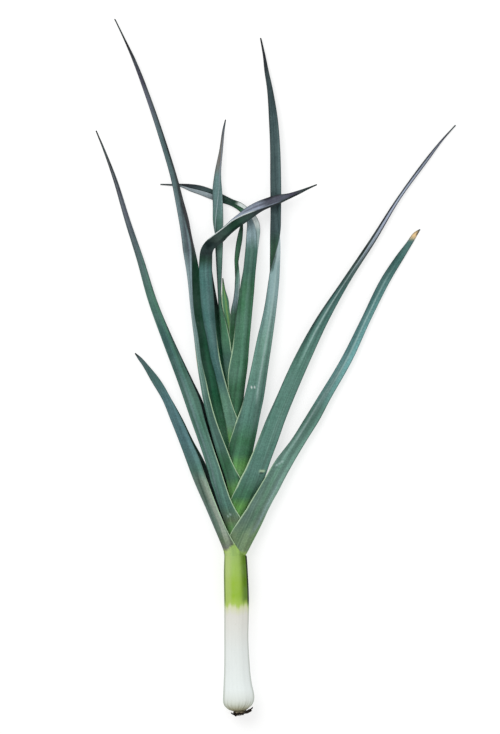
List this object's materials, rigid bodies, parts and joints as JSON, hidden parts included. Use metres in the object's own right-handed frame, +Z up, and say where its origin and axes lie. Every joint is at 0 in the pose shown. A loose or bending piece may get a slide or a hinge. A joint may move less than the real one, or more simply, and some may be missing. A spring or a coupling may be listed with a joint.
{
  "type": "leek",
  "caption": "Whole leek lying flat: white shank with a rounded bulb and trimmed roots, and keeled leaves fanned out, some kinked or arched near their tips.",
  "frame": {"origin": "middle of the footprint, on the table the leek lies on", "axes": "+Y from the roots to the leaf tips, +X to the right seen from above with the leaves away from the viewer, +Z up from the table"},
  "size_m": [0.4332, 0.837, 0.0368],
  "materials": {
    "shank": "moist plant skin, white, green towards the leaves",
    "roots": "dry dark root ends",
    "leaves": "waxy grey-green leaf skin",
    "young_leaf": "fresh yellow-green leaf skin"
  },
  "bodies": {
    "root": {"shank": "shank", "root_tuft": "roots", "leaf_left_1": "leaves", "leaf_right_1": "leaves", "leaf_left_2": "leaves", "leaf_right_2": "leaves", "leaf_left_3": "leaves", "leaf_right_3": "leaves", "leaf_left_4_kinked": "leaves", "leaf_right_4_arched": "leaves", "leaf_left_5": "leaves", "leaf_right_5": "leaves", "leaf_left_6_young": "young_leaf"}
  },
  "joints": []
}
